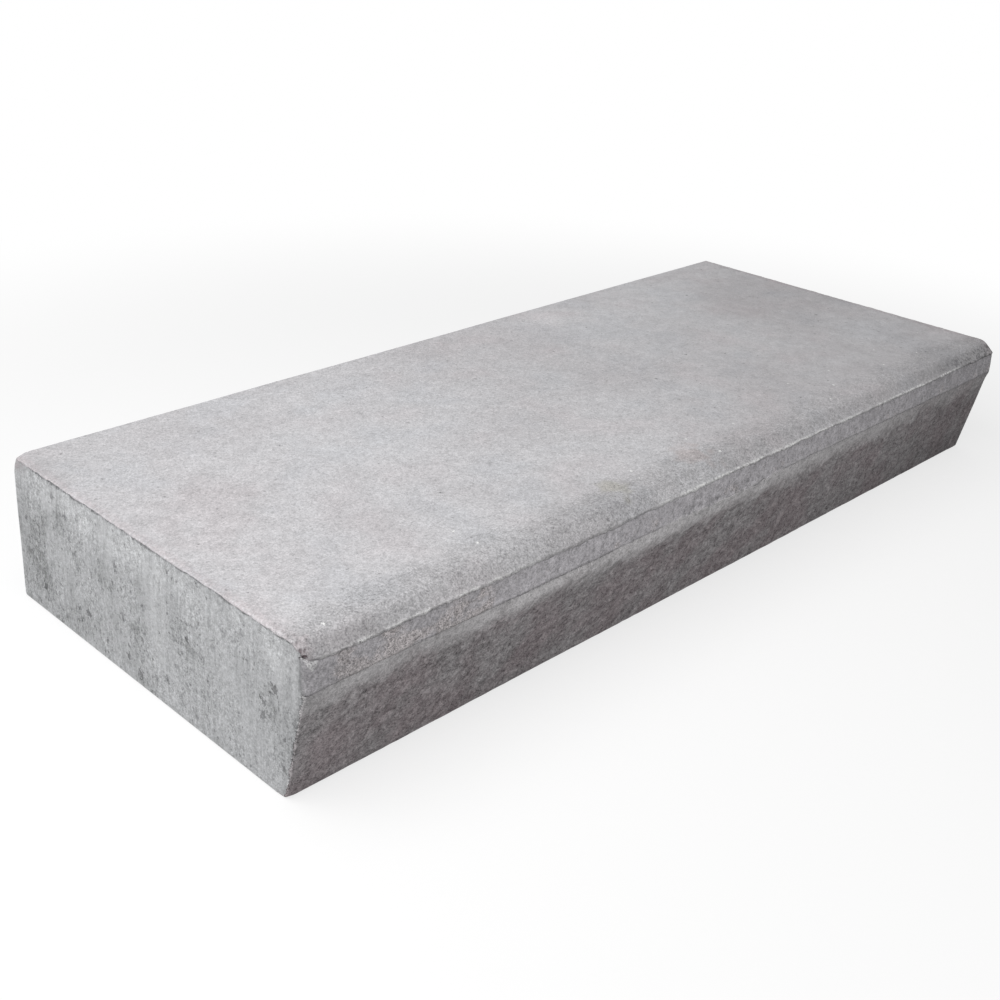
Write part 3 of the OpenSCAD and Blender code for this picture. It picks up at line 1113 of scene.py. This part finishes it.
def riser_colour(bench, spot, grains, mottle, measures, finish):
    """A smooth pale strip under the fascia that fades into dark, torn concrete with paler mottles.

    The torn part is dark partly as painted shade of the downward-facing riser, and partly by its own
    colour.
    The mottles are fainter beside the left end. The torn part has soft patches and a broad reddish drift,
    and it grows dimmer towards the right end, most of all at its foot.
    """
    low, fascia_foot = measures.low, measures.fascia_foot
    broad = bench.noise(spot.upright, 14.0, 2.0, 0.5)
    ragged = bench.math("MULTIPLY_ADD", mottle, 0.4, bench.noise(spot.upright, 26.0, 3.0, 0.6))
    wavering = bench.swayed(spot.z, ragged, 40 * MM, 0.7)
    strip = bench.ranged(wavering, fascia_foot - 28 * MM, fascia_foot - 3 * MM)
    strip = bench.product(strip, bench.ranged(spot.along, 0.7, 0.98, 1.0, 0.35))
    clear = bench.ranged(spot.x, low.x + 10 * MM, low.x + 80 * MM, 0.3, 1.0)
    pale_share = bench.ranged(bench.swayed(0.51, mottle, clear), 0.43, 0.58)
    torn = bench.mixed(pale_share, opaque(finish.riser_dark), opaque(finish.riser_pale))
    torn = bench.tinted(torn, bench.ranged(broad, 0.4, 0.62), RISER_TINT)
    torn = bench.dimmed(torn, bench.ranged(spot.along, 0.75, 1.0), 0.78)
    near_foot = bench.ranged(spot.z, low.z + 60 * MM, low.z + 10 * MM)
    torn = bench.dimmed(torn, bench.product(near_foot, bench.ranged(spot.along, 0.6, 0.9)), 0.82)
    patches = bench.noise(spot.upright, 38.0, 2.0, 0.5)
    torn = bench.grained(
        torn, (grains.fine, 0.7), (grains.middle, 1.25), (grains.crisp, 0.8), (patches, 0.6))
    smooth = bench.grained(
        opaque(finish.riser_band), (grains.fine, 0.45), (grains.middle, 0.7), (grains.wide, 0.35))
    return bench.mixed(strip, torn, bench.toned(smooth, spot.along, STRIP_TONES))


def smeared_ledge(bench, colour, spot, front, measures):
    """The colour with soft dark lumps along the ledge, where it is smeared over near its middle."""
    stretch = bench.product(bench.ranged(spot.along, 0.4, 0.44), bench.ranged(spot.along, 0.6, 0.55))
    away = bench.math("ABSOLUTE", bench.math("SUBTRACT", spot.z, measures.fascia_foot + 2 * MM))
    near = bench.ranged(away, 10 * MM, 3 * MM)
    lumps = bench.ranged(bench.noise(spot.place, 130.0, 2.0, 0.6), 0.5, 0.62)
    return bench.dimmed(colour, bench.product(stretch, near, front, lumps), 0.7)


# Where the painted shade of the broken corner's pits lies
def corner_pit_shade(bench, spot, grains, measures):
    """The pits of the broken corner, 1 inside them and 0 outside, with edges frayed by the crisp grain."""
    low = measures.low
    leftward = bench.product(bench.math("SUBTRACT", spot.y, spot.x), math.sqrt(0.5))
    view = bench.put("ShaderNodeCombineXYZ", {0: leftward, 1: spot.z}).outputs[0]
    corner = (low.y - low.x) * math.sqrt(0.5)
    found = 0.0
    for pit in PITS:
        middle = (corner + pit.leftward, measures.lip_top + pit.above, 0)
        uneven = bench.swayed(bench.distance(view, middle), grains.crisp, pit.reach)
        inside = bench.ranged(uneven, pit.reach, 0.4 * pit.reach, 0.0, pit.darkness)
        found = bench.math("MAXIMUM", found, inside)
    at_front = bench.ranged(spot.y, low.y + PITTED_DEPTH, low.y + 0.8 * PITTED_DEPTH)
    return bench.product(found, at_front)


def marked(bench, colour, spot, grains, marks, measures, finish):
    """The colour with the marks along the edges laid over it.

    Painted shade darkens the turns round the fascia's ends. Painted shadows lie as dark broken lines under
    the lip, the ledge and the burr, softer ones towards the right. The lip has pale crumbs with a painted
    highlight, fewer of them left of its middle and none at its left corner, and dark mottles at its right
    end, and so have the ledge's edge and the burr's roll. The riser's arris has dark nicks and fresh chips.
    At the broken corner the pits are darkened by a painted reddish shade, over a pale flake.
    """
    pale_grain_and_highlight = opaque(finish.pale_grain_and_highlight)
    ragged = bench.noise(spot.place, 260.0, 2.0, 0.7)
    # Painted shade round the turns at the fascia's ends
    colour = bench.dimmed(colour, marks.shade, 0.6)
    coarse = bench.ranged(grains.crisp, 0.4, 0.6, 0.0, 0.4)
    crumbled = bench.total(bench.ranged(grains.fine, 0.2, 0.8, 0.0, 0.45), coarse)
    colour = bench.mixed(bench.product(bench.ranged(marks.flake, 0.2, 0.45), crumbled), colour, pale_grain_and_highlight)

    # Painted shadows: dark broken lines under the lip, the ledge and the burr
    frayed = bench.swayed(marks.shadow, grains.crisp, 1.4)
    thin = bench.ranged(spot.along, 0.6, 0.85, 0.35, 0.2)
    dark = bench.product(bench.ranged(frayed, thin, 0.75), bench.ranged(ragged, 0.36, 0.48, 0.25, 1.0))
    colour = bench.dimmed(colour, dark, 0.45)

    # Pale crumbs with a painted highlight along the lip, the ledge's edge and the burr's roll
    leftward = bench.ranged(spot.along, 0.16, 0.3, 0.65, 0.25)
    rightward = bench.ranged(spot.along, 0.36, 0.42, 0.0, 0.8)
    far_end = bench.ranged(spot.along, 0.9, 0.95)
    off_corner = bench.ranged(spot.x, measures.low.x + 8 * MM, measures.low.x + 14 * MM)
    patchy = bench.ranged(bench.noise(spot.place, 55.0, 1.0, 0.5), 0.36, 0.6, 0.4, 1.25)
    near_end = bench.math("SUBTRACT", 1.0, far_end)
    rim = bench.product(bench.total(leftward, rightward), near_end, off_corner, patchy)
    crumbs_and_highlight = bench.product(marks.pale, rim, bench.ranged(grains.crisp, 0.4, 0.56))
    colour = bench.mixed(crumbs_and_highlight, colour, pale_grain_and_highlight)
    mottles = bench.product(marks.pale, far_end, bench.ranged(ragged, 0.46, 0.56))
    colour = bench.dimmed(colour, mottles, 0.5)

    nicks = bench.product(marks.chip, bench.ranged(grains.crisp, 0.58, 0.46))
    colour = bench.dimmed(colour, nicks, 0.4)
    fresh = bench.product(marks.chip, bench.ranged(grains.crisp, 0.58, 0.66, 0.0, 0.8))
    colour = bench.mixed(fresh, colour, pale_grain_and_highlight)
    # Painted reddish shade in the broken corner's pits
    return bench.tinted(colour, corner_pit_shade(bench, spot, grains, measures), PIT_SHADE_TINT)


def concrete(finish, measures):
    """The whole block's pressed concrete, from object coordinates and the surface's shares and marks."""
    material = bpy.data.materials.new("pressed_concrete")
    material.use_nodes = True
    bench = NodeBench(material.node_tree)
    place = bench.put("ShaderNodeTexCoord", {}).outputs["Object"]
    x, y, z = bench.put("ShaderNodeSeparateXYZ", {0: place}).outputs
    along = bench.share(x, measures.low.x, measures.high.x)
    upright = bench.put("ShaderNodeCombineXYZ", {0: bench.total(x, y), 1: z}).outputs[0]
    spot = Spot(place, x, y, z, along, upright)
    shares = bench.put("ShaderNodeAttribute", {}, attribute_name="face_share").outputs
    tread, fascia, riser = bench.put("ShaderNodeSeparateColor", {0: shares["Color"]}).outputs
    lines = bench.put("ShaderNodeAttribute", {}, attribute_name="line_mark").outputs
    shadow, pale, chip = bench.put("ShaderNodeSeparateColor", {0: lines["Color"]}).outputs
    marks = Marks(shadow, pale, chip, shade=lines["Alpha"], flake=shares["Alpha"])
    grains = Grains(
        fine=bench.sand(place, 1000.0), sandy=bench.noise(place, 310.0, 1.0, 1.0),
        middle=bench.noise(place, 200.0, 1.0, 1.0), wide=bench.noise(place, 50.0, 1.0, 1.0),
        crisp=bench.noise(place, 480.0, 2.0, 0.8))
    mottle = bench.noise(bench.stretched(upright, (0.7, 1, 1)), 150.0, 3.0, 0.6)
    tread = bench.ranged(bench.swayed(tread, grains.crisp, 1.6), 0.35, 0.65)

    colour = side_colour(bench, spot, grains, measures, finish)
    colour = bench.mixed(tread, colour, tread_colour(bench, spot, grains, measures, finish))
    colour = bench.mixed(fascia, colour, fascia_colour(bench, spot, grains, measures, finish))
    colour = bench.mixed(riser, colour, riser_colour(bench, spot, grains, mottle, measures, finish))
    colour = smeared_ledge(bench, colour, spot, bench.total(fascia, riser), measures)
    colour = marked(bench, colour, spot, grains, marks, measures, finish)

    pores = bench.noise(place, 450.0, 1.0, 1.0)
    finer = bench.math("MULTIPLY_ADD", grains.sandy, 0.65, bench.product(grains.middle, -0.8))
    height = bench.math("MULTIPLY_ADD", pores, 0.5, grains.middle)
    height = bench.math("MULTIPLY_ADD", finer, tread, height)
    height = bench.math("MULTIPLY_ADD", bench.product(riser, mottle), 2.5, height)
    bump = bench.put("ShaderNodeBump", {"Strength": 0.6, "Distance": 0.8 * MM, "Height": height})
    roughness = bench.ranged(pores, 0.35, 0.65, 0.96, 0.84)
    shader = bench.put("ShaderNodeBsdfPrincipled", {
        "Base Color": colour, "Roughness": roughness, "Normal": bump.outputs[0],
        "Specular IOR Level": 0.3,
    })
    bench.put("ShaderNodeOutputMaterial", {"Surface": shader.outputs[0]})
    return material


class STEPBLOCK_OT_cast(bpy.types.Operator):
    """Build the block's cast surface in place of its plain solid"""

    bl_idname = "stepblock.cast"
    bl_label = "Cast Block"

    def execute(self, context):
        scene = context.scene
        sizes, wear = scene.step_block_sizes, scene.step_block_wear
        low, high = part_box(NODE)
        measures = measured(low, high, sizes)
        places, field_table, faces = cast_surface(measures, sizes)
        fields = Fields(*field_table.T)
        mesh = bpy.data.meshes.new("cast_step_block")
        mesh.from_pydata(places.tolist(), [], faces)
        mesh.shade_smooth()
        outward = np.empty(len(places) * 3, np.float32)
        mesh.vertex_normals.foreach_get("vector", outward)
        outward = outward.reshape(-1, 3).astype(float)
        moved, flake, rubbed, shadow = relief(places, outward, fields, measures, sizes, wear)
        mesh.vertices.foreach_set("co", moved.ravel().astype(np.float32))
        mesh.update()
        tread = np.maximum(fields.tread, 0.6 * rubbed)
        colour_attribute(mesh, "face_share", tread, fields.fascia, fields.riser, flake)
        colour_attribute(mesh, "line_mark", shadow, fields.pale, fields.chip, fields.shade)
        block = bpy.data.objects.new("cast_step_block", mesh)
        scene.collection.objects.link(block)
        mesh.materials.append(concrete(scene.step_block_finish, measures))
        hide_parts(NODE)
        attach(block, "root")
        return {"FINISHED"}


# Half the floor's width, and the distances from the block between which the floor turns an even white
FLOOR_HALF = 8.0
EVEN_START = 0.6
EVEN_END = 1.3
# Widths and places of the two lamps
KEY_WIDTH = 1.2
KEY_PLACE = (-0.85, 0.1, 1.3)
FILL_WIDTH = 1.6
FILL_PLACE = (-2.6, -1.0, 1.15)
WHITE = (1, 1, 1, 1)


def seen_directly(bench):
    """1 for what the camera sees straight or by gloss or glass, and 0 for light that the block gathers."""
    path = bench.put("ShaderNodeLightPath", {}).outputs
    mirrored = bench.math("MAXIMUM", path["Is Glossy Ray"], path["Is Transmission Ray"])
    return bench.math("MAXIMUM", path["Is Camera Ray"], mirrored)


def floor_finish(stage):
    """Matt floor that lights the block as its own tone does, and looks white with the block's pale shadow.

    What the camera sees is a mix of a lit white and an even white, and the even one's share grows to the
    whole with the distance from the block.
    """
    material = bpy.data.materials.new("studio_floor")
    material.use_nodes = True
    bench = NodeBench(material.node_tree)
    place = bench.put("ShaderNodeTexCoord", {}).outputs["Object"]
    distance = bench.put("ShaderNodeVectorMath", {0: place}, operation="LENGTH").outputs["Value"]
    even = bench.ranged(distance, EVEN_START, EVEN_END, 0.7, 1.0)
    own = bench.put("ShaderNodeBsdfDiffuse", {"Color": opaque(stage.floor_tone)}).outputs[0]
    lit = bench.put("ShaderNodeBsdfDiffuse", {"Color": WHITE}).outputs[0]
    white = bench.put("ShaderNodeEmission", {"Color": WHITE, "Strength": 1.0}).outputs[0]
    shown = bench.put("ShaderNodeMixShader", {0: even, 1: lit, 2: white}).outputs[0]
    surface = bench.put("ShaderNodeMixShader", {0: seen_directly(bench), 1: own, 2: shown}).outputs[0]
    bench.put("ShaderNodeOutputMaterial", {"Surface": surface})
    return material


def area_lamp(scene, name, power, size, place, aim):
    """A square area lamp that faces a point."""
    lamp = bpy.data.lights.new(name, "AREA")
    lamp.energy = power
    lamp.size = size
    lamp_object = bpy.data.objects.new(name, lamp)
    lamp_object.location = place
    lamp_object.rotation_euler = (Vector(aim) - Vector(place)).to_track_quat("-Z", "Y").to_euler()
    scene.collection.objects.link(lamp_object)


class STEPBLOCK_OT_stage(bpy.types.Operator):
    """Set up the floor, the lamps, the even light and the camera"""

    bl_idname = "stepblock.stage"
    bl_label = "Set Stage"

    def execute(self, context):
        scene = context.scene
        stage = scene.step_block_stage
        low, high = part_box(NODE)
        around = ((-1, -1), (1, -1), (1, 1), (-1, 1))
        corners = [(x * FLOOR_HALF, y * FLOOR_HALF, low.z) for x, y in around]
        mesh = bpy.data.meshes.new("floor")
        mesh.from_pydata(corners, [], [(0, 1, 2, 3)])
        mesh.materials.append(floor_finish(stage))
        floor = bpy.data.objects.new("floor", mesh)
        scene.collection.objects.link(floor)

        middle = (low + high) / 2
        over_left = (0.7 * low.x, 0, high.z)
        area_lamp(scene, "key_lamp", stage.key_power, KEY_WIDTH, KEY_PLACE, over_left)
        area_lamp(scene, "fill_lamp", stage.fill_power, FILL_WIDTH, FILL_PLACE, (low.x, 0, middle.z))

        world = bpy.data.worlds.new("studio")
        world.use_nodes = True
        scene.world = world
        bench = NodeBench(world.node_tree)
        even = bench.put("ShaderNodeBackground", {"Color": WHITE, "Strength": stage.ambient}).outputs[0]
        white = bench.put("ShaderNodeBackground", {"Color": WHITE, "Strength": 1.0}).outputs[0]
        sky = bench.put("ShaderNodeMixShader", {0: seen_directly(bench), 1: even, 2: white}).outputs[0]
        bench.put("ShaderNodeOutputWorld", {"Surface": sky})

        lens = bpy.data.cameras.new("camera")
        lens.lens = stage.camera_lens
        lens.shift_y = stage.camera_rise
        camera = bpy.data.objects.new("camera", lens)
        camera.location = stage.camera_place
        camera.rotation_euler = stage.camera_turn
        scene.collection.objects.link(camera)
        scene.camera = camera
        scene.view_settings.view_transform = "Standard"
        return {"FINISHED"}


class STEPBLOCK_PT_panel(bpy.types.Panel):
    """Sizes, wear, colours and stage of the step block, with the buttons that build it."""

    bl_idname = "STEPBLOCK_PT_panel"
    bl_label = "Step Block"
    bl_space_type = "VIEW_3D"
    bl_region_type = "UI"
    bl_category = "Step Block"

    def draw(self, context):
        for name in GROUPS:
            group = getattr(context.scene, name)
            box = self.layout.box()
            for key in group.bl_rna.properties.keys():
                if key not in ("rna_type", "name"):
                    box.prop(group, key)
        self.layout.operator(STEPBLOCK_OT_cast.bl_idname)
        self.layout.operator(STEPBLOCK_OT_stage.bl_idname)


GROUPS = {
    "step_block_sizes": StepBlockSizes,
    "step_block_wear": StepBlockWear,
    "step_block_finish": StepBlockFinish,
    "step_block_stage": StepBlockStage,
}
CLASSES = (*GROUPS.values(), STEPBLOCK_OT_cast, STEPBLOCK_OT_stage, STEPBLOCK_PT_panel)


def register():
    for each in CLASSES:
        bpy.utils.register_class(each)
    for name, group in GROUPS.items():
        setattr(bpy.types.Scene, name, PointerProperty(type=group))


def unregister():
    for name in GROUPS:
        delattr(bpy.types.Scene, name)
    for each in reversed(CLASSES):
        bpy.utils.unregister_class(each)


def main():
    """Builds the block and its stage."""
    register()
    bpy.ops.stepblock.cast()
    bpy.ops.stepblock.stage()


if __name__ == "__main__":
    main()
